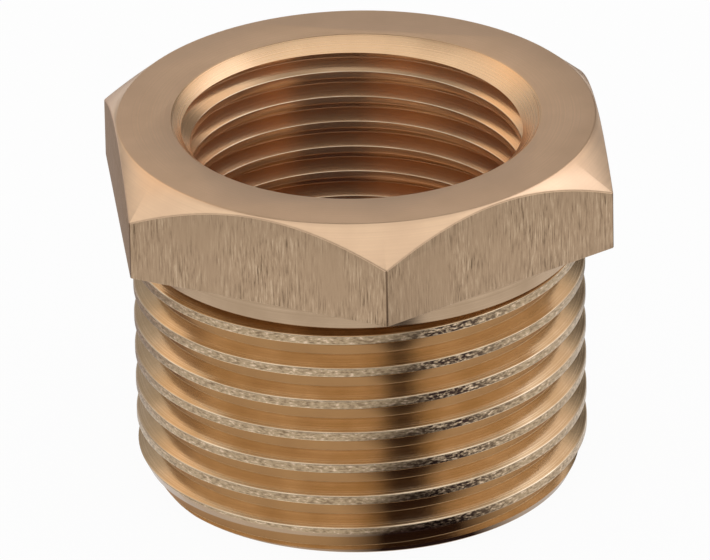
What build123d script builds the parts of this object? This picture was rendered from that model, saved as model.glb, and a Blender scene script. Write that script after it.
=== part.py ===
from build123d import *
from build123d.topology import SkipClean
import math
import os

# Hex bushing, 1 inch male by 3/4 inch female pipe thread, turned from brass hexagon bar.
# Millimetres. The part stands on the end of its male thread: Z is its axis, the end face is z = 0,
# and one corner of the hexagon points along -Y.

# ---- driving dimensions ----
# hexagon head
across_flats = 35.0
head_height = 6.95
top_ring_radius = 17.35  # outer edge of the flat top ring, where the corner chamfer begins
corner_chamfer_angle = 41.0  # fall of the corner chamfer below the top ring, in degrees

# shank
shank_length = 20.65
collar_length = 1.95  # plain length between the thread and the head

# male thread
male_crest_radius = 16.475
male_pitch = 2.6  # from crest to crest
male_depth = 1.175  # down to the flat that stands for the rounded root
male_land = 0.66  # width of the flat crest
end_face_radius = 15.5  # outer edge of the end face, where the lead-in chamfer begins
lead_in_height = 2.0
groove_exit_angle = -57.5  # where the groove's lower flank meets the end face, from -Y towards +X

# female thread, left at the crest wall that the tap leaves
female_crest_radius = 12.06
female_thread_depth = 16.0  # from the top ring to the step
countersink_radius = 13.4
countersink_angle = 45.0

# bore below the female thread
through_bore_radius = 11.6
step_angle = 45.0  # slope of the step between the thread and the through bore
exit_chamfer = 0.7

# both threads have the 55 degree form
flank_angle = 27.5

# the thread is cut in equal sectors, so that each stretch of crest is one patch of the cylinder
sectors = 6

# ---- sizes that follow ----
overall_height = shank_length + head_height
thread_top = shank_length - collar_length
male_root_radius = male_crest_radius - male_depth
flank_slope = math.tan(math.radians(flank_angle))
groove_root_width = male_pitch - male_land - 2 * male_depth * flank_slope
countersink_depth = (countersink_radius - female_crest_radius) / math.tan(math.radians(countersink_angle))
step_depth = (female_crest_radius - through_bore_radius) / math.tan(math.radians(step_angle))
corner_radius = across_flats / math.sqrt(3)

# lengths by which the cutting shapes run past what they cut
overrun = 0.3
sector_overrun = 8.0  # degrees
stock_inner_radius = 0.5 * through_bore_radius
stock_below = male_pitch


def groove_width(radius):
    """Width of the thread groove at a radius, between its two flanks."""
    return groove_root_width + 2 * (radius - male_root_radius) * flank_slope


def turned(*points):
    """A solid of revolution about Z, from the (radius, height) corners of its section."""
    return revolve(Plane.XZ * make_face(Polyline(*points, close=True)), Axis.Z)


def groove_stretch():
    """One sector's length of the male groove, right-handed, its middle on +X at z = 0."""
    turns = (1 / sectors) + 2 * sector_overrun / 360
    outer_radius = male_crest_radius + overrun
    half_root = groove_width(male_root_radius) / 2
    half_mouth = groove_width(outer_radius) / 2
    section = Polyline(
        (male_root_radius, -half_root),
        (outer_radius, -half_mouth),
        (outer_radius, half_mouth),
        (male_root_radius, half_root),
        close=True,
    )
    path = Helix(pitch=male_pitch, height=turns * male_pitch, radius=male_crest_radius)
    groove = sweep(Plane.XZ * make_face(section), path=path, is_frenet=True)
    return Pos(0, 0, -turns * male_pitch / 2) * Rot(0, 0, -180 * turns) * groove


def thread_sector(index, groove):
    """The sector of the threaded shank whose middle lies at index sectors on from +X."""
    sweep_angle = 360 / sectors
    stock = Rot(0, 0, -sweep_angle / 2) * revolve(
        Plane.XZ
        * make_face(
            Polyline(
                (stock_inner_radius, -stock_below),
                (male_crest_radius, -stock_below),
                (male_crest_radius, thread_top),
                (stock_inner_radius, thread_top),
                close=True,
            )
        ),
        Axis.Z,
        sweep_angle,
    )
    # height of the groove's middle at this sector's middle, one turn of which passes the end face
    exit_middle = groove_width(end_face_radius) / 2
    turned_by = index * sweep_angle - (groove_exit_angle - 90)
    height = exit_middle + male_pitch * ((turned_by / 360) % 1) - 2 * male_pitch
    while height < thread_top + male_pitch:
        stock -= Pos(0, 0, height) * groove
        height += male_pitch
    return Rot(0, 0, index * sweep_angle) * stock


def threaded_shank():
    """The shank below the collar, with the male groove cut into it."""
    groove = groove_stretch()
    shank = thread_sector(0, groove)
    for index in range(1, sectors):
        shank += thread_sector(index, groove)
    return shank


def head_and_collar():
    """The hexagon with its turned corner chamfer, and the plain collar under it."""
    hexagon = Pos(0, 0, shank_length) * extrude(
        RegularPolygon(radius=corner_radius, side_count=6, rotation=90), head_height
    )
    reach = corner_radius + overrun
    reach_fall = (reach - top_ring_radius) * math.tan(math.radians(corner_chamfer_angle))
    turned_envelope = turned(
        (0, shank_length),
        (reach, shank_length),
        (reach, overall_height - reach_fall),
        (top_ring_radius, overall_height),
        (0, overall_height),
    )
    collar = turned(
        (0, thread_top),
        (male_crest_radius, thread_top),
        (male_crest_radius, shank_length),
        (0, shank_length),
    )
    return (hexagon & turned_envelope) + collar


def bore():
    """What is bored out: countersink, female thread wall, step, through bore and exit chamfer."""
    thread_end = overall_height - female_thread_depth
    mouth_radius = countersink_radius + overrun * math.tan(math.radians(countersink_angle))
    exit_radius = through_bore_radius + exit_chamfer
    return turned(
        (0, overall_height + overrun),
        (mouth_radius, overall_height + overrun),
        (female_crest_radius, overall_height - countersink_depth),
        (female_crest_radius, thread_end),
        (through_bore_radius, thread_end - step_depth),
        (through_bore_radius, exit_chamfer),
        (exit_radius, 0),
        (exit_radius, -stock_below - overrun),
        (0, -stock_below - overrun),
    )


def end_facing():
    """What is turned away at the thread's end: the stock below z = 0 and the lead-in chamfer."""
    reach = male_crest_radius + overrun
    lead_in_slope = lead_in_height / (male_crest_radius - end_face_radius)
    return turned(
        (stock_inner_radius - overrun, 0),
        (end_face_radius, 0),
        (reach, (reach - end_face_radius) * lead_in_slope),
        (reach, -stock_below - overrun),
        (stock_inner_radius - overrun, -stock_below - overrun),
    )


def bushing_body():
    """The whole bushing. Joined without merging faces, which keeps the crest in its patches."""
    with SkipClean():
        body = threaded_shank() + head_and_collar()
        body -= end_facing()
        body -= bore()
    return body


os.makedirs("parts", exist_ok=True)
body = bushing_body()
export_step(body, "parts/bushing_body.step")
print("volume", round(body.volume, 1))
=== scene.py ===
"""Hex bushing, turned from brass hexagon bar: its finished mesh, its finishes and its studio.

Lengths are in metres, in the part's own frame: Z is the axis and z = 0 the threaded end face.
"""

import math

import bpy
from mathutils import Matrix, Vector


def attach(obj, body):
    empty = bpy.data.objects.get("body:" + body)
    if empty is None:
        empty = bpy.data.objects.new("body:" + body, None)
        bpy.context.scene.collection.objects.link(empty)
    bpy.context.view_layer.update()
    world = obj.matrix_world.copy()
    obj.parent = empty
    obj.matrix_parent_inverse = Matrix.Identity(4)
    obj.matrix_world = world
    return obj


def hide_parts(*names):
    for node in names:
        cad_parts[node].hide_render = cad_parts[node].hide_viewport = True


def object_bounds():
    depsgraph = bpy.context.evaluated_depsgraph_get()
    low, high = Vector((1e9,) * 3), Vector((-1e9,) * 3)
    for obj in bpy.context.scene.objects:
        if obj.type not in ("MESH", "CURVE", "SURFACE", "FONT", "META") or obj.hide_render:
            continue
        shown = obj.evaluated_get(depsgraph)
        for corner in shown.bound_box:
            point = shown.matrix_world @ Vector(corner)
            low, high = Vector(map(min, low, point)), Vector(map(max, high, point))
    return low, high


bl_info = {
    "name": "Hex bushing",
    "version": (1, 0, 0),
    "blender": (4, 5, 0),
    "location": "3D View > Sidebar > Bushing",
    "description": "A turned brass hex bushing with its threads, finishes and studio",
    "category": "Object",
}

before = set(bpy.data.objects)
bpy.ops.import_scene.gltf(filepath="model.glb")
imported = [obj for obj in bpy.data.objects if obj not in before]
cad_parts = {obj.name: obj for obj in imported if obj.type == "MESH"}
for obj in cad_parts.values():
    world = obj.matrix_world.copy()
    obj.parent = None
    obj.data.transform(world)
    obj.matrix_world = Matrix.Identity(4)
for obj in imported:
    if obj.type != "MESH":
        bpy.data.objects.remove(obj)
cad_low, cad_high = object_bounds()

BODY_NODE = "bushing_body"
MM = 0.001
STEPS_ROUND = 144  # around one turn
ROUNDING_STEPS = 4  # across a rounded thread edge
MERGE_DISTANCE = 1e-7  # welds what one sweep leaves double
SLIVER_LENGTH = 1e-6  # shorter edges are closed up once the piece is whole
SPARE_TURNS = 4  # turns of a screw beyond the length it threads, shared by its two ends
OVERRUN = 0.3 * MM  # by which an envelope reaches past what it turns
BORE_OVERRUN = 0.5 * MM  # by which the bore tool reaches past the part's ends
SHARP_ANGLE = math.radians(30)  # an edge that turns by more than this is sharp

# how deep the tool marks are
FAINT_MARKS = 0.002 * MM
FINE_MARKS = 0.004 * MM
COARSE_MARKS = 0.006 * MM
DEEP_MARKS = 0.03 * MM

# slack and normals that tell the zones of the surface apart
NEAR = 0.03 * MM
FLAT_DIRECTIONS = (0, math.pi / 3, 2 * math.pi / 3)
FACING_FLAT = 0.985  # along one of the flat directions
LEVEL = 0.9  # the z of a level face's normal, up or down
UPRIGHT = 0.2  # the most z of an upright face's normal
ROOT_UPRIGHT = 0.3
COUNTERSINK_UP = 0.6
FLANK_UP = 0.86  # a thread flank faces up by more than this

# where the studio's cards stand
CARD_DISTANCE = 0.6
PART_MIDDLE = 0.014


# ---- sizes and colours that a user would change ----


def length(name, description, default):
    """A length property in metres."""
    return bpy.props.FloatProperty(
        name=name,
        description=description,
        default=default,
        unit="LENGTH",
        subtype="DISTANCE",
        precision=5,
    )


class BushingSizes(bpy.types.PropertyGroup):
    """Driving sizes of the bushing."""

    across_flats: length("Across flats", "Width of the hexagon", cad_high.x - cad_low.x)
    height: length("Height", "From the threaded end to the top ring", cad_high.z - cad_low.z)
    head_height: length("Head height", "Height of the hexagon", 6.95 * MM)
    top_ring_radius: length("Top ring radius", "Where the corner chamfer begins", 17.35 * MM)
    collar_length: length("Collar length", "Plain length between thread and head", 1.95 * MM)
    male_crest_radius: length("Male crest radius", "Crest of the outside thread", 16.475 * MM)
    male_pitch: length("Male pitch", "Pitch of the outside thread", 2.6 * MM)
    male_land: length("Male land", "Width of the flat crest", 0.66 * MM)
    male_depth: length("Male depth", "Depth of the outside groove", 1.175 * MM)
    male_root_rounding: length("Male root rounding", "Radius of the groove's inner corners", 0.04 * MM)
    crest_edge_rounding: length("Crest edge rounding", "Radius of the outside crest's edges", 0.13 * MM)
    end_face_radius: length("End face radius", "Where the lead-in chamfer begins", 15.5 * MM)
    lead_in_height: length("Lead-in height", "Height of the lead-in chamfer", 2.0 * MM)
    female_crest_radius: length("Female crest radius", "Crest wall of the inside thread", 12.06 * MM)
    female_pitch: length("Female pitch", "Pitch of the inside thread", 2.04 * MM)
    female_land: length("Female land", "Width of the inside thread's crest", 0.5 * MM)
    female_groove_depth: length("Female groove depth", "Depth of the inside groove", 1.16 * MM)
    female_root_rounding: length("Female root rounding", "Radius of the inside groove's corners", 0.04 * MM)
    female_first_crest: length(
        "First inside crest", "Height of the inside thread's top crest at the back", 24.97 * MM
    )
    female_depth: length("Female thread depth", "From the top ring to the step", 16.0 * MM)
    countersink_radius: length("Countersink radius", "Mouth of the countersink", 13.4 * MM)
    through_radius: length("Through bore radius", "Bore below the inside thread", 11.6 * MM)
    exit_chamfer: length("Exit chamfer", "Chamfer where the bore leaves the end face", 0.7 * MM)
    edge_break: length("Edge break", "Width of the broken edges of the head", 0.09 * MM)
    corner_chamfer_angle: bpy.props.FloatProperty(
        name="Corner chamfer angle",
        description="Fall of the corner chamfer below the top ring",
        default=math.radians(41),
        subtype="ANGLE",
    )
    flank_angle: bpy.props.FloatProperty(
        name="Flank angle",
        description="Half the angle of the thread form",
        default=math.radians(27.5),
        subtype="ANGLE",
    )
    groove_exit_angle: bpy.props.FloatProperty(
        name="Groove exit angle",
        description="Where the groove's lower flank meets the end face, from -Y towards +X",
        default=math.radians(-57.5),
        subtype="ANGLE",
    )


def tint(name, description, default):
    """A colour property."""
    return bpy.props.FloatVectorProperty(
        name=name, description=description, default=default, subtype="COLOR", size=3, min=0, max=1
    )


class BrassColors(bpy.types.PropertyGroup):
    """Colours of the brass finishes."""

    ring: tint("Ring", "Turned top ring", (0.78, 0.53, 0.345))
    ring_shade: tint("Ring shade", "Darker marks of the ring", (0.70, 0.47, 0.30))
    chamfer: tint("Chamfer", "Bright turned chamfer", (0.85, 0.59, 0.38))
    chamfer_shade: tint("Chamfer shade", "Darker marks of the chamfer", (0.75, 0.51, 0.33))
    countersink: tint("Countersink", "Turned countersink", (0.87, 0.58, 0.34))
    countersink_shade: tint("Countersink shade", "Darker marks of the countersink", (0.77, 0.50, 0.29))
    flat: tint("Flat", "Drawn bar", (0.46, 0.32, 0.205))
    flat_scratch: tint("Flat scratch", "Dark scratches of the bar", (0.22, 0.15, 0.09))
    flat_bright: tint("Flat bright", "Bright scratches of the bar", (0.62, 0.46, 0.31))
    # painted reflection: the upright corners are much darker than the flats, to draw the dark line that a
    # reflection lays along them
    corner: tint("Corner", "Dull upright corners of the hexagon", (0.2, 0.13, 0.08))
    # painted shade: the collar, and the head's underside that shares its colours, are darker than the
    # turned brass for the shade under the head
    collar: tint("Collar", "Turned collar", (0.50, 0.36, 0.24))
    collar_shade: tint("Collar shade", "Darker marks of the collar", (0.40, 0.28, 0.18))
    # partly burnishing and partly a painted highlight: the edges are lighter than the brass, adding to the
    # thin bright lines that light draws on them
    edge: tint("Edge", "Burnished edges", (0.95, 0.75, 0.53))
    edge_shade: tint("Edge shade", "Worn spots of the edges", (0.55, 0.41, 0.27))
    crest: tint("Crest", "Torn crest", (0.47, 0.345, 0.215))
    crest_pit: tint("Crest pit", "Pits of the torn crest", (0.25, 0.17, 0.10))
    # painted reflection: the near black that the crest's tears take at the front right, standing in for a
    # dark reflection
    crest_painted_reflection: tint("Crest deep", "Deepest tears of the crest", (0.045, 0.026, 0.022))
    crest_bright: tint("Crest bright", "Bright dashes of the torn crest", (0.78, 0.60, 0.43))
    groove: tint("Groove", "Freshly cut groove", (0.70, 0.50, 0.31))
    groove_shade: tint("Groove shade", "Darker marks of the groove", (0.55, 0.37, 0.20))
    # painted light: the inside thread is lighter than the same brass outside, to brighten the bore
    tapped: tint("Tapped thread", "Surface of the inside thread", (0.92, 0.61, 0.36))
    tapped_shade: tint("Tapped shade", "Darker marks of the inside thread", (0.80, 0.52, 0.30))
    # painted shade: the groove's bottom is darker than the same brass on the flanks, for the shade that
    # falls into it
    root: tint("Root", "Flat bottom of the groove", (0.43, 0.24, 0.10))
    root_shade: tint("Root shade", "Darker marks of the groove's bottom", (0.35, 0.19, 0.08))


# ---- modelling helpers ----


def deselect_all():
    """Leave no object selected."""
    for obj in bpy.context.selected_objects:
        obj.select_set(False)


def make_active(obj):
    """Leave this object as the only selected one, and active."""
    deselect_all()
    obj.select_set(True)
    bpy.context.view_layer.objects.active = obj


def edit_all():
    """Enter edit mode with the whole mesh of the active object selected."""
    bpy.ops.object.mode_set(mode="EDIT")
    bpy.ops.mesh.select_all(action="SELECT")


def lift_mesh(height):
    """Move the active object's mesh up."""
    edit_all()
    bpy.ops.transform.translate(value=(0, 0, height))
    bpy.ops.object.mode_set(mode="OBJECT")


def draw_section(name, points):
    """A chain of edges through (radius, height) points in the XZ plane, drawn from one vertex."""
    deselect_all()
    bpy.ops.mesh.primitive_plane_add(size=MM)
    section = bpy.context.object
    section.name = name
    bpy.ops.object.mode_set(mode="EDIT")
    bpy.ops.mesh.merge(type="CENTER")
    here = Vector((points[0][0], 0, points[0][1]))
    bpy.ops.transform.translate(value=here)
    for radius, height in points[1:]:
        there = Vector((radius, 0, height))
        bpy.ops.mesh.extrude_vertices_move(TRANSFORM_OT_translate={"value": there - here})
        here = there
    bpy.ops.object.mode_set(mode="OBJECT")
    return section


def sweep_round(section, pitch=0.0, turns=1):
    """Turn a section about Z with the Screw modifier, and weld it."""
    screw = section.modifiers.new("turn", "SCREW")
    screw.axis = "Z"
    screw.angle = math.tau
    screw.screw_offset = pitch
    screw.iterations = turns
    screw.steps = STEPS_ROUND
    screw.render_steps = STEPS_ROUND
    make_active(section)
    bpy.ops.object.modifier_apply(modifier=screw.name)
    edit_all()
    bpy.ops.mesh.remove_doubles(threshold=MERGE_DISTANCE)
    bpy.ops.mesh.normals_make_consistent(inside=False)
    bpy.ops.object.mode_set(mode="OBJECT")
    return section


def turned(name, *outline):
    """A solid of revolution from an outline that starts and ends on the axis."""
    return sweep_round(draw_section(name, outline))


def threaded(name, one_pitch, pitch, turns):
    """A right-handed screw solid, from the outline of one pitch of its surface."""
    screw = sweep_round(draw_section(name, one_pitch), pitch, turns)
    edit_all()
    bpy.ops.mesh.fill_holes(sides=0)
    bpy.ops.mesh.select_all(action="DESELECT")
    bpy.ops.mesh.select_mode(type="FACE")
    bpy.ops.mesh.select_face_by_sides(number=STEPS_ROUND, type="GREATER")
    bpy.ops.mesh.poke()
    bpy.ops.mesh.select_mode(type="VERT")
    bpy.ops.mesh.select_all(action="SELECT")
    bpy.ops.mesh.normals_make_consistent(inside=False)
    bpy.ops.object.mode_set(mode="OBJECT")
    return screw


def boolean(piece, tool, operation):
    """Apply a Boolean with a tool, which is used up."""
    step = piece.modifiers.new(operation.lower(), "BOOLEAN")
    step.operation = operation
    step.solver = "MANIFOLD"
    step.object = tool
    make_active(piece)
    bpy.ops.object.modifier_apply(modifier=step.name)
    bpy.data.meshes.remove(tool.data)
    return piece


def bevel_edges(piece, width, angle):
    """Break the edges that turn by more than an angle."""
    step = piece.modifiers.new("edge break", "BEVEL")
    step.width = width
    step.segments = 2
    step.limit_method = "ANGLE"
    step.angle_limit = angle
    make_active(piece)
    bpy.ops.object.modifier_apply(modifier=step.name)
    return piece


# ---- the bushing's forms ----


def groove_outline(
    crest_radius, pitch, land, depth, edge_rounding, root_rounding, flank_angle, inside_thread
):
    """(radius, height) points of one pitch of a thread's surface, from crest middle to crest middle."""
    side = 1 if inside_thread else -1
    bend = math.pi / 2 - flank_angle
    root_width = pitch - land - 2 * depth * math.tan(flank_angle)
    edge_centre = land / 2 - edge_rounding * math.tan(bend / 2)
    root_centre = (pitch - root_width) / 2 + root_rounding * math.tan(bend / 2)
    lower = [(0, 0)]
    for index in range(ROUNDING_STEPS + 1):
        angle = bend * index / ROUNDING_STEPS
        inset = edge_rounding * (1 - math.cos(angle))
        lower.append((inset, edge_centre + edge_rounding * math.sin(angle)))
    for index in range(ROUNDING_STEPS + 1):
        angle = bend * (1 - index / ROUNDING_STEPS)
        inset = depth - root_rounding * (1 - math.cos(angle))
        lower.append((inset, root_centre - root_rounding * math.sin(angle)))
    upper = [(inset, pitch - height) for inset, height in reversed(lower)]
    return [(crest_radius + side * inset, height) for inset, height in lower + upper]


def male_thread(sizes):
    """The threaded shank, with its lead-in chamfer, up to the collar."""
    pitch = sizes.male_pitch
    outline = groove_outline(
        sizes.male_crest_radius,
        pitch,
        sizes.male_land,
        sizes.male_depth,
        sizes.crest_edge_rounding,
        sizes.male_root_rounding,
        sizes.flank_angle,
        False,
    )
    thread_top = sizes.height - sizes.head_height - sizes.collar_length
    turns = math.ceil(thread_top / pitch) + SPARE_TURNS
    shank = threaded("shank", outline, pitch, turns)
    # the groove's middle, one half pitch above the screw's start, leaves through the end face
    groove_mouth = pitch - sizes.male_land
    lead_in = sizes.male_crest_radius - sizes.end_face_radius
    exit_width = groove_mouth - 2 * lead_in * math.tan(sizes.flank_angle)
    lift_mesh(exit_width / 2 - pitch / 2 - 2 * pitch)
    shank.rotation_euler.z = sizes.groove_exit_angle - math.pi / 2
    make_active(shank)
    bpy.ops.object.transform_apply(location=True, rotation=True, scale=True)
    slope = sizes.lead_in_height / lead_in
    reach = sizes.male_crest_radius + OVERRUN
    envelope = turned(
        "shank envelope",
        (0, 0),
        (sizes.end_face_radius, 0),
        (reach, (reach - sizes.end_face_radius) * slope),
        (reach, thread_top),
        (0, thread_top),
    )
    return boolean(shank, envelope, "INTERSECT")


def head(sizes):
    """The hexagon with its corner chamfer and broken edges."""
    deselect_all()
    shoulder = sizes.height - sizes.head_height
    corner_radius = sizes.across_flats / math.sqrt(3)
    bpy.ops.mesh.primitive_cylinder_add(
        vertices=6,
        radius=corner_radius,
        depth=sizes.head_height,
        location=(0, 0, shoulder + sizes.head_height / 2),
        rotation=(0, 0, 0),
    )
    hexagon = bpy.context.object
    hexagon.name = "head"
    bpy.ops.object.transform_apply(location=True, rotation=True, scale=True)
    reach = corner_radius + OVERRUN
    fall = (reach - sizes.top_ring_radius) * math.tan(sizes.corner_chamfer_angle)
    envelope = turned(
        "head envelope",
        (0, shoulder - MM),
        (reach, shoulder - MM),
        (reach, sizes.height - fall),
        (sizes.top_ring_radius, sizes.height),
        (0, sizes.height),
    )
    boolean(hexagon, envelope, "INTERSECT")
    bevel_edges(hexagon, sizes.edge_break, SHARP_ANGLE)
    outside = turned(
        "corner limit",
        (0, shoulder - MM),
        (corner_radius, shoulder - MM),
        (corner_radius, sizes.height + MM),
        (0, sizes.height + MM),
    )
    return boolean(hexagon, outside, "INTERSECT")


def collar(sizes):
    """The plain collar between the thread and the head, its lower edge just broken."""
    shoulder = sizes.height - sizes.head_height
    bottom = shoulder - sizes.collar_length
    radius = sizes.male_crest_radius + 0.02 * MM  # a hair wider than the thread
    edge = 0.06 * MM
    return turned(
        "collar",
        (0, bottom),
        (radius - edge, bottom),
        (radius, bottom + edge),
        (radius, shoulder + MM),
        (0, shoulder + MM),
    )


def bore_tool(sizes):
    """What is bored out: countersink, thread drilling, step, through bore and exit chamfer."""
    drill_radius = sizes.female_crest_radius - 0.1 * MM  # the tap opens it up to the crest
    thread_end = sizes.height - sizes.female_depth
    edge = 0.05 * MM
    exit_radius = sizes.through_radius + sizes.exit_chamfer
    return turned(
        "bore tool",
        (0, sizes.height + BORE_OVERRUN),
        (sizes.countersink_radius + edge + BORE_OVERRUN, sizes.height + BORE_OVERRUN),
        (sizes.countersink_radius + edge, sizes.height),
        (sizes.countersink_radius - edge, sizes.height - edge),
        (drill_radius, sizes.height - (sizes.countersink_radius - drill_radius)),
        (drill_radius, thread_end),
        (sizes.through_radius, thread_end - (drill_radius - sizes.through_radius)),
        (sizes.through_radius, sizes.exit_chamfer),
        (exit_radius, 0),
        (exit_radius, -BORE_OVERRUN),
        (0, -BORE_OVERRUN),
    )


def tap(sizes):
    """What the tap cuts away: the inside thread's grooves, fading out towards the step."""
    pitch = sizes.female_pitch
    outline = groove_outline(
        sizes.female_crest_radius,
        pitch,
        sizes.female_land,
        sizes.female_groove_depth,
        sizes.crest_edge_rounding / 2,
        sizes.female_root_rounding,
        sizes.flank_angle,
        True,
    )
    thread_end = sizes.height - sizes.female_depth
    turns = math.ceil(sizes.female_depth / pitch) + SPARE_TURNS
    cutter = threaded("tap", outline, pitch, turns)
    # the back lies a quarter turn on from where the screw starts
    lift_mesh(sizes.female_first_crest - pitch / 4 - (turns - 3) * pitch)
    deepest = sizes.female_crest_radius + 2 * MM
    fade_length = 3.5 * MM
    envelope = turned(
        "tap envelope",
        (0, thread_end - MM),
        (sizes.through_radius, thread_end),
        (deepest, thread_end + fade_length),
        (deepest, sizes.height + BORE_OVERRUN),
        (0, sizes.height + BORE_OVERRUN),
    )
    return boolean(cutter, envelope, "INTERSECT")


# ---- finishes ----


def add_node(tree, kind, inputs=None, **settings):
    """A shader node with its settings and unlinked inputs, or links where an input is a socket."""
    node = tree.nodes.new(kind)
    for name, value in settings.items():
        setattr(node, name, value)
    for name, value in (inputs or {}).items():
        if isinstance(value, bpy.types.NodeSocket):
            tree.links.new(value, node.inputs[name])
        else:
            node.inputs[name].default_value = value
    return node


def calculate(tree, operation, *values):
    """The result of a Math node, from numbers or sockets."""
    inputs = dict(enumerate(values))
    return add_node(tree, "ShaderNodeMath", inputs, operation=operation).outputs["Value"]


def axes_of(tree, vector):
    """The X, Y and Z outputs of a vector."""
    return add_node(tree, "ShaderNodeSeparateXYZ", {0: vector}).outputs


def metal(name, color, roughness, polish=1.0):
    """A material with a metallic surface, and its tree and surface node."""
    material = bpy.data.materials.new(name)
    material.use_nodes = True
    tree = material.node_tree
    surface = tree.nodes["Principled BSDF"]
    surface.inputs["Base Color"].default_value = (*color, 1)
    surface.inputs["Metallic"].default_value = polish
    surface.inputs["Roughness"].default_value = roughness
    return material, tree, surface


def object_coordinates(tree, scale=(1, 1, 1)):
    """The part's own coordinates, stretched."""
    coordinates = add_node(tree, "ShaderNodeTexCoord").outputs["Object"]
    inputs = {"Vector": coordinates, "Scale": scale}
    return add_node(tree, "ShaderNodeMapping", inputs).outputs["Vector"]


def length_of(tree, vector):
    """The length of a vector."""
    return add_node(tree, "ShaderNodeVectorMath", {0: vector}, operation="LENGTH").outputs["Value"]


def turning_place(tree, rise):
    """Distance from the axis plus a share of the height: constant along a turned mark."""
    radius = length_of(tree, object_coordinates(tree, (1, 1, 0)))
    height = axes_of(tree, object_coordinates(tree, (1, 1, rise)))["Z"]
    return calculate(tree, "ADD", radius, height)


def noise(tree, vector, scale, detail=2.0, roughness=0.5):
    """Noise in space."""
    inputs = {"Vector": vector, "Scale": scale, "Detail": detail, "Roughness": roughness}
    return add_node(tree, "ShaderNodeTexNoise", inputs).outputs["Fac"]


def line_noise(tree, place, scale, detail):
    """Noise along a line."""
    inputs = {"W": place, "Scale": scale, "Detail": detail}
    return add_node(tree, "ShaderNodeTexNoise", inputs, noise_dimensions="1D").outputs["Fac"]


def spread(tree, value, low, high, out_low=0.0, out_high=1.0, **settings):
    """A value's place between two limits, carried over to two others."""
    inputs = {"Value": value, "From Min": low, "From Max": high, "To Min": out_low, "To Max": out_high}
    return add_node(tree, "ShaderNodeMapRange", inputs, **settings).outputs["Result"]


def blend_colors(tree, factor, first, second):
    """Mix two colours, each a colour or a socket, by a factor."""
    mix = add_node(tree, "ShaderNodeMix", data_type="RGBA")
    # the inputs and the output of the colour mix share their names with those of the other kinds
    for socket, value in ((mix.inputs[0], factor), (mix.inputs[6], first), (mix.inputs[7], second)):
        if isinstance(value, bpy.types.NodeSocket):
            tree.links.new(value, socket)
        else:
            socket.default_value = (*value, 1)
    return mix.outputs[2]


def raise_surface(tree, surface, height, distance):
    """Raise a surface by a height between 0 and 1, times a distance."""
    bump = add_node(tree, "ShaderNodeBump", {"Height": height, "Distance": distance})
    tree.links.new(bump.outputs["Normal"], surface.inputs["Normal"])


def turned_brass(name, color, shade, roughness, mark_depth, rise=0.6, polish=1.0):
    """Brass off the lathe: fine marks round the axis and a faint mottle."""
    material, tree, surface = metal(name, color, roughness, polish)
    marks = line_noise(tree, turning_place(tree, rise), 9000.0, 3.0)
    mottle = noise(tree, object_coordinates(tree), 350.0, 4.0)
    tone = spread(tree, calculate(tree, "MULTIPLY", marks, mottle), 0.12, 0.42)
    tree.links.new(blend_colors(tree, tone, shade, color), surface.inputs["Base Color"])
    gloss = spread(tree, marks, 0.2, 0.8, roughness * 0.85, roughness * 1.2)
    tree.links.new(gloss, surface.inputs["Roughness"])
    raise_surface(tree, surface, marks, mark_depth)
    return material


def brushed_flats(colors):
    """The hexagon's flats: drawn bar with short upright scratches, in patches."""
    material, tree, surface = metal("drawn flats", colors.flat, 0.48)
    scratches = noise(tree, object_coordinates(tree, (8.0, 8.0, 0.75)), 1000.0, 4.0, 0.6)
    patches = noise(tree, object_coordinates(tree, (1, 1, 0.6)), 300.0, 2.0)
    strength = spread(tree, patches, 0.3, 0.6)
    worn = calculate(tree, "MULTIPLY", spread(tree, scratches, 0.53, 0.68), strength)
    bright = calculate(tree, "MULTIPLY", spread(tree, scratches, 0.46, 0.34), strength)
    tone = blend_colors(tree, worn, colors.flat, colors.flat_scratch)
    tone = blend_colors(tree, bright, tone, colors.flat_bright)
    tree.links.new(tone, surface.inputs["Base Color"])
    tree.links.new(spread(tree, scratches, 0.3, 0.7, 0.4, 0.56), surface.inputs["Roughness"])
    raise_surface(tree, surface, scratches, DEEP_MARKS)
    return material


def torn_crest(colors):
    """The outside thread's crest, torn by the die into short dashes, its tears at the front right darkened
    as a painted dark reflection.
    """
    material, tree, surface = metal("torn crest", colors.crest, 0.32)
    tears = noise(tree, object_coordinates(tree, (2.6, 2.6, 6.5)), 1000.0, 5.0, 0.6)
    tone = blend_colors(tree, spread(tree, tears, 0.36, 0.5), colors.crest_pit, colors.crest)
    tone = blend_colors(tree, spread(tree, tears, 0.56, 0.66), tone, colors.crest_bright)
    # painted reflection: the tears are darkened in a patch at the front right, where a dark reflection
    # falls on the crest
    place = axes_of(tree, object_coordinates(tree))
    begin = spread(tree, place["X"], 0.5 * MM, 3.5 * MM)
    end = spread(tree, place["X"], 6 * MM, 10.5 * MM, 1.0, 0.0)
    front = spread(tree, place["Y"], -10 * MM, -12.5 * MM)
    front_right = calculate(tree, "MULTIPLY", calculate(tree, "MULTIPLY", begin, end), front)
    painted_reflection = calculate(tree, "MULTIPLY", front_right, spread(tree, tears, 0.6, 0.46))
    tone = blend_colors(tree, painted_reflection, tone, colors.crest_painted_reflection)
    tree.links.new(tone, surface.inputs["Base Color"])
    raise_surface(tree, surface, tears, DEEP_MARKS)
    return material


def inside_zone(sizes, centre, normal):
    """The finish of a face in the bore or beside its mouth."""
    if centre.z > sizes.height - NEAR and normal.z > LEVEL:
        return "top_ring"
    countersink_depth = sizes.countersink_radius - sizes.female_crest_radius
    if normal.z > COUNTERSINK_UP and centre.z > sizes.height - countersink_depth:
        return "countersink"
    radius = math.hypot(centre.x, centre.y)
    if radius < sizes.through_radius + NEAR:
        return "bore"
    at_crest = radius < sizes.female_crest_radius + sizes.crest_edge_rounding / 2
    return "edge" if at_crest and UPRIGHT < normal.z < FLANK_UP else "inside_thread"


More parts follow.
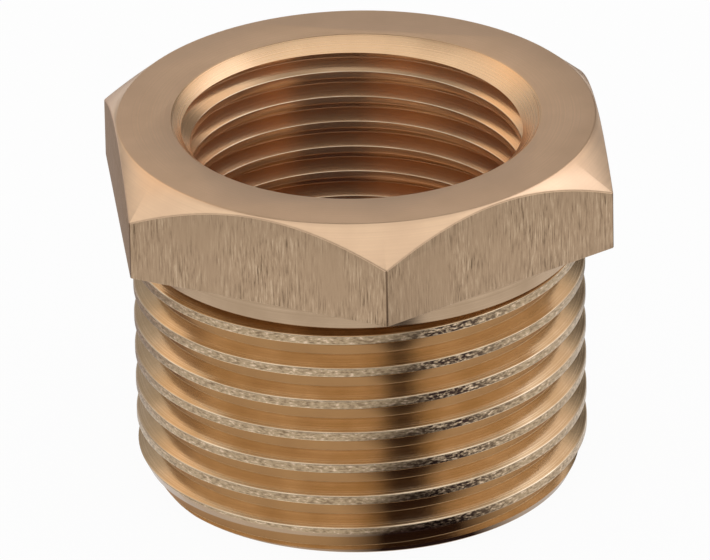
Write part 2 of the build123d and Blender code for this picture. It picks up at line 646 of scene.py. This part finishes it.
def head_zone(normal):
    """The finish of a face of the head, from the way it faces."""
    if normal.z > LEVEL:
        return "top_ring"
    if normal.z > UPRIGHT:
        return "corner_chamfer"
    if normal.z < -LEVEL:
        return "shoulder"
    facing = max(abs(normal.x * math.cos(turn) + normal.y * math.sin(turn)) for turn in FLAT_DIRECTIONS)
    return "corner" if facing < FACING_FLAT and normal.z > -UPRIGHT else "flats"


def face_zone(sizes, centre, normal):
    """The name of the finish that a face gets, from its place and the way it faces."""
    radius = math.hypot(centre.x, centre.y)
    shoulder = sizes.height - sizes.head_height
    thread_top = shoulder - sizes.collar_length
    inside = sizes.countersink_radius + 0.2 * MM
    if radius < inside and centre.z > NEAR:
        return inside_zone(sizes, centre, normal)
    if centre.z < NEAR:
        return "end_face"
    if centre.z > shoulder - NEAR:
        return head_zone(normal)
    lead_in = sizes.male_crest_radius - sizes.end_face_radius
    cone_radius = sizes.end_face_radius + centre.z * lead_in / sizes.lead_in_height
    if centre.z > thread_top - NEAR or (normal.z < -UPRIGHT and radius > cone_radius - NEAR):
        return "collar"
    if radius > sizes.male_crest_radius - 1.2 * sizes.crest_edge_rounding:
        return "crest" if abs(normal.z) < UPRIGHT else "edge"
    root_radius = sizes.male_crest_radius - sizes.male_depth
    at_root = radius < root_radius + NEAR and abs(normal.z) < ROOT_UPRIGHT
    return "root" if at_root else "groove"


def give_finishes(piece, sizes, colors):
    """Give each face the finish of its zone."""
    finishes = {
        "top_ring": turned_brass("turned top ring", colors.ring, colors.ring_shade, 0.42, FINE_MARKS),
        "corner_chamfer": turned_brass(
            "turned corner chamfer", colors.chamfer, colors.chamfer_shade, 0.3, FINE_MARKS
        ),
        "countersink": turned_brass(
            "turned countersink", colors.countersink, colors.countersink_shade, 0.28, COARSE_MARKS
        ),
        "flats": brushed_flats(colors),
        # painted reflection: the dark line along the upright corners
        "corner": turned_brass("painted_dark corners", colors.corner, colors.corner, 0.3, FAINT_MARKS),
        # partly wear, partly a painted highlight
        "edge": turned_brass("burnished edges", colors.edge, colors.edge_shade, 0.16, FAINT_MARKS),
        # painted shade under the head
        "collar": turned_brass("turned collar", colors.collar, colors.collar_shade, 0.2, FINE_MARKS),
        "crest": torn_crest(colors),
        "groove": turned_brass(
            "cut thread", colors.groove, colors.groove_shade, 0.19, FINE_MARKS, rise=0.0
        ),
        # painted shade in the groove's bottom
        "root": turned_brass("thread root", colors.root, colors.root_shade, 0.24, FINE_MARKS, rise=0.0),
        # painted light that brightens the bore
        "inside_thread": turned_brass(
            "tapped thread", colors.tapped, colors.tapped_shade, 0.2, FINE_MARKS, rise=0.0, polish=0.85
        ),
        "bore": turned_brass("bore", colors.groove, colors.groove_shade, 0.3, COARSE_MARKS, polish=0.85),
        "end_face": turned_brass(
            "turned end face", colors.groove, colors.groove_shade, 0.35, COARSE_MARKS
        ),
        # painted shade under the head, in the collar's colours
        "shoulder": turned_brass(
            "turned shoulder", colors.collar, colors.collar_shade, 0.35, COARSE_MARKS
        ),
    }
    order = list(finishes)
    piece.data.materials.clear()
    for zone in order:
        piece.data.materials.append(finishes[zone])
    for face in piece.data.polygons:
        face.material_index = order.index(face_zone(sizes, face.center, face.normal))


# ---- studio ----


def direction(azimuth, elevation):
    """The unit vector from the part towards a place round it; azimuth 0 is the front."""
    level = math.cos(elevation)
    return Vector((math.sin(azimuth) * level, -math.cos(azimuth) * level, math.sin(elevation)))


def reflected_panel(name):
    """The active object, seen only by reflections from now on, and its new material's bare tree."""
    panel = bpy.context.object
    panel.name = name
    panel.visible_camera = False
    panel.visible_diffuse = False
    panel.visible_shadow = False
    material = bpy.data.materials.new(name)
    material.use_nodes = True
    material.node_tree.nodes.clear()
    panel.data.materials.append(material)
    return panel, material.node_tree


def panel_place(tree):
    """A panel's own coordinates."""
    return add_node(tree, "ShaderNodeTexCoord").outputs["Object"]


def glow_where(tree, cover, color):
    """Make a panel glow with a colour where it covers, and leave it clear elsewhere."""
    clear = add_node(tree, "ShaderNodeBsdfTransparent").outputs["BSDF"]
    glow = add_node(tree, "ShaderNodeEmission", {"Color": color}).outputs["Emission"]
    mixed = add_node(tree, "ShaderNodeMixShader", {0: cover, 1: clear, 2: glow}).outputs["Shader"]
    add_node(tree, "ShaderNodeOutputMaterial", {"Surface": mixed})


def card(name, azimuth, elevation, width, height, level, softness):
    """A studio card that only reflections see, facing the part from a direction given in degrees."""
    towards = direction(math.radians(azimuth), math.radians(elevation))
    deselect_all()
    bpy.ops.mesh.primitive_plane_add(size=1.0)
    panel, tree = reflected_panel(name)
    panel.scale = (width, height, 1)
    panel.location = towards * CARD_DISTANCE + Vector((0, 0, PART_MIDDLE))
    panel.rotation_mode = "QUATERNION"
    panel.rotation_quaternion = towards.to_track_quat("Z", "Y")
    place = axes_of(tree, panel_place(tree))
    faded = []
    for axis in ("X", "Y"):
        off_middle = calculate(tree, "ABSOLUTE", place[axis])
        faded.append(
            spread(tree, off_middle, 0.5 - softness, 0.5, 1.0, 0.0, interpolation_type="SMOOTHSTEP")
        )
    glow_where(tree, calculate(tree, "MULTIPLY", *faded), (*level, 1))


def surround():
    """The dim room round the table, up to a soft upper edge, as the metal reflects it."""
    height = 0.6
    deselect_all()
    bpy.ops.mesh.primitive_cylinder_add(
        vertices=64,
        radius=CARD_DISTANCE,
        depth=height,
        location=(0, 0, height / 2),
        end_fill_type="NOTHING",
    )
    wall, tree = reflected_panel("surround")
    rise = axes_of(tree, panel_place(tree))["Z"]
    cover = spread(tree, rise, 0.14 - height / 2, 0.34 - height / 2, 1.0, 0.0)
    glow_where(tree, cover, (0.42, 0.42, 0.42, 1))


def table_shade():
    """What the metal reflects of the table, as painted shade: a dark strip in front for the part's own
    shadow, and shade under and behind.
    """
    front = math.radians(12)  # the strip's direction, from the front towards the right
    inner_middle = 4 * MM  # how far to the right of it the strip under the bore lies
    strip_color = (0.03, 0.018, 0.02)
    under_color = (0.62, 0.46, 0.38)
    left_color = (0.46, 0.41, 0.40)
    right_color = (0.12, 0.10, 0.09)
    deselect_all()
    bpy.ops.mesh.primitive_plane_add(size=0.3)
    panel, tree = reflected_panel("table shade")
    panel.location.z = 0.05 * MM
    place = panel_place(tree)
    radius = length_of(tree, place)
    inputs = {"Vector": place, "Rotation": (0, 0, -front)}
    turned_place = axes_of(tree, add_node(tree, "ShaderNodeMapping", inputs).outputs["Vector"])
    across = turned_place["X"]
    along = turned_place["Y"]
    # the shade under the bore, and the strip across it
    under = spread(tree, radius, 13 * MM, 17 * MM, 1.0, 0.0)
    off_inner = calculate(tree, "ABSOLUTE", calculate(tree, "SUBTRACT", across, inner_middle))
    inner_strip = spread(tree, off_inner, 4 * MM, 7.5 * MM, 1.0, 0.0)
    inner_strip = calculate(tree, "MULTIPLY", inner_strip, under)
    # the strip in front, which ends before the table does
    strip = spread(tree, calculate(tree, "ABSOLUTE", across), 3.5 * MM, 9.5 * MM, 1.0, 0.0)
    strip = calculate(tree, "MULTIPLY", strip, spread(tree, along, 0.0, -10 * MM))
    strip = calculate(tree, "MULTIPLY", strip, spread(tree, radius, 60 * MM, 110 * MM, 1.0, 0.0))
    strip = calculate(tree, "MAXIMUM", strip, inner_strip)
    # the shade behind, darker towards the right
    behind = spread(tree, along, 8 * MM, 22 * MM)
    shade = blend_colors(tree, spread(tree, across, -8 * MM, 12 * MM), left_color, right_color)
    shade = blend_colors(tree, under, shade, under_color)
    shade = blend_colors(tree, strip, shade, strip_color)
    cover = calculate(tree, "MAXIMUM", strip, under)
    glow_where(tree, calculate(tree, "MAXIMUM", cover, behind), shade)


def bore_flag():
    """A dark upright flag in the bore's front, which only reflections see: a painted dark reflection on the
    bore's back wall.
    """
    deselect_all()
    bpy.ops.mesh.primitive_plane_add(size=1.0)
    panel, tree = reflected_panel("bore flag")
    panel.scale = (15 * MM, 18 * MM, 1)
    panel.location = (3 * MM, -8.2 * MM, 9.2 * MM)
    panel.rotation_euler = (math.radians(90), 0, math.radians(20))
    off_middle = calculate(tree, "ABSOLUTE", axes_of(tree, panel_place(tree))["X"])
    glow_where(tree, spread(tree, off_middle, 0.35, 0.5, 1.0, 0.0), (0.02, 0.01, 0.012, 1))


def seen_directly(tree):
    """1 for what the camera sees directly, in metal or through glass."""
    path = add_node(tree, "ShaderNodeLightPath").outputs
    rays = calculate(tree, "MAXIMUM", path["Is Camera Ray"], path["Is Glossy Ray"])
    return calculate(tree, "MAXIMUM", rays, path["Is Transmission Ray"])


# ---- operators ----


class BUSHING_OT_body(bpy.types.Operator):
    """Model the bushing and stand it in for the plain solid"""

    bl_idname = "bushing.body"
    bl_label = "Bushing"

    def execute(self, context):
        sizes = context.scene.bushing_sizes
        body = head(sizes)
        boolean(body, collar(sizes), "UNION")
        boolean(body, male_thread(sizes), "UNION")
        boolean(body, bore_tool(sizes), "DIFFERENCE")
        boolean(body, tap(sizes), "DIFFERENCE")
        body.name = "bushing"
        body.data.name = "bushing"
        make_active(body)
        edit_all()
        bpy.ops.mesh.remove_doubles(threshold=SLIVER_LENGTH)
        bpy.ops.mesh.dissolve_degenerate(threshold=SLIVER_LENGTH)
        bpy.ops.object.mode_set(mode="OBJECT")
        bpy.ops.object.shade_smooth_by_angle(angle=SHARP_ANGLE)
        give_finishes(body, sizes, context.scene.bushing_colors)
        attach(body, "root")
        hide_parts(BODY_NODE)
        return {"FINISHED"}


class BUSHING_OT_stage(bpy.types.Operator):
    """Set up the floor, the light and the camera"""

    bl_idname = "bushing.stage"
    bl_label = "Stage"

    def execute(self, context):
        camera()
        floor()
        studio_light()
        context.scene.view_settings.view_transform = "Standard"
        return {"FINISHED"}


def camera():
    """The camera at the product view, a long lens from above the front corner's left."""
    distance = 0.972
    back = direction(math.radians(-5.51), math.radians(27.15))
    roll = math.radians(1.12)
    pivot = Vector((0, 0, 13.61 * MM))
    image_width = 710
    pixels_per_metre = 13720
    pivot_right_of_centre = 4.5
    pivot_below_centre = 7.0
    sensor_width = 36.0
    data = bpy.data.cameras.new("product camera")
    obj = bpy.data.objects.new("product camera", data)
    bpy.context.scene.collection.objects.link(obj)
    level = back.to_track_quat("Z", "Y")
    obj.rotation_mode = "QUATERNION"
    obj.rotation_quaternion = level @ Matrix.Rotation(-roll, 3, "Z").to_quaternion()
    obj.location = pivot + back * distance
    data.sensor_width = sensor_width
    data.lens = pixels_per_metre * distance / image_width * sensor_width
    data.shift_x = -pivot_right_of_centre / image_width
    data.shift_y = pivot_below_centre / image_width
    data.clip_start = 0.1
    data.clip_end = 10.0
    bpy.context.scene.camera = obj


def floor():
    """A plain white floor that keeps the part's shadow, and is clear from below."""
    white_share = 0.95  # the rest shows the shadow
    deselect_all()
    bpy.ops.mesh.primitive_plane_add(size=4.0, location=(0, 0, -0.05 * MM))
    plane = bpy.context.object
    plane.name = "floor"
    material = bpy.data.materials.new("floor")
    material.use_nodes = True
    tree = material.node_tree
    matte = tree.nodes["Principled BSDF"]
    matte.inputs["Base Color"].default_value = (0.85, 0.85, 0.85, 1)
    matte.inputs["Roughness"].default_value = 0.9
    matte.inputs["Specular IOR Level"].default_value = 0.0
    white = add_node(tree, "ShaderNodeEmission", {"Color": (1, 1, 1, 1)}).outputs["Emission"]
    share = calculate(tree, "MULTIPLY", seen_directly(tree), white_share)
    inputs = {0: share, 1: matte.outputs["BSDF"], 2: white}
    top = add_node(tree, "ShaderNodeMixShader", inputs).outputs["Shader"]
    below = add_node(tree, "ShaderNodeNewGeometry").outputs["Backfacing"]
    clear = add_node(tree, "ShaderNodeBsdfTransparent").outputs["BSDF"]
    mixed = add_node(tree, "ShaderNodeMixShader", {0: below, 1: top, 2: clear})
    tree.links.new(mixed.outputs["Shader"], tree.nodes["Material Output"].inputs["Surface"])
    plane.data.materials.append(material)


def studio_light():
    """White surroundings, and the bright, grey and dark panels that the metal reflects."""
    world = bpy.data.worlds.new("studio")
    world.use_nodes = True
    tree = world.node_tree
    room = tree.nodes["Background"]
    room.inputs["Color"].default_value = (1, 1, 1, 1)
    level = spread(tree, seen_directly(tree), 0.0, 1.0, 0.8, 1.0)
    tree.links.new(level, room.inputs["Strength"])
    bpy.context.scene.world = world
    surround()
    card("back card", 174, 25, 1.2, 0.5, (0.45, 0.45, 0.45), 0.25)
    card("right card", 106, 38, 0.58, 0.42, (1.6, 1.65, 1.8), 0.3)
    card("ceiling card", 180, 72, 0.9, 0.55, (0.28, 0.28, 0.28), 0.25)
    card("left warm card", -142, 42, 0.36, 0.36, (1.15, 0.92, 0.7), 0.3)
    card("right warm card", 128, 40, 0.22, 0.36, (1.0, 0.88, 0.78), 0.3)
    card("right dim card", 152, 24, 0.4, 0.42, (0.10, 0.09, 0.08), 0.3)
    bore_flag()
    card("front card", -5, 25, 1.1, 0.62, (0.42, 0.42, 0.42), 0.25)
    table_shade()


class BUSHING_PT_panel(bpy.types.Panel):
    """Lists the bushing's operators"""

    bl_label = "Hex bushing"
    bl_idname = "BUSHING_PT_panel"
    bl_space_type = "VIEW_3D"
    bl_region_type = "UI"
    bl_category = "Bushing"

    def draw(self, context):
        for operator in OPERATORS:
            self.layout.operator(operator.bl_idname)


OPERATORS = (BUSHING_OT_body, BUSHING_OT_stage)
CLASSES = (BushingSizes, BrassColors, *OPERATORS, BUSHING_PT_panel)


def register():
    for cls in CLASSES:
        bpy.utils.register_class(cls)
    bpy.types.Scene.bushing_sizes = bpy.props.PointerProperty(type=BushingSizes)
    bpy.types.Scene.bushing_colors = bpy.props.PointerProperty(type=BrassColors)


def unregister():
    del bpy.types.Scene.bushing_colors
    del bpy.types.Scene.bushing_sizes
    for cls in reversed(CLASSES):
        bpy.utils.unregister_class(cls)


def main():
    register()
    bpy.ops.bushing.body()
    bpy.ops.bushing.stage()


if __name__ == "__main__":
    main()
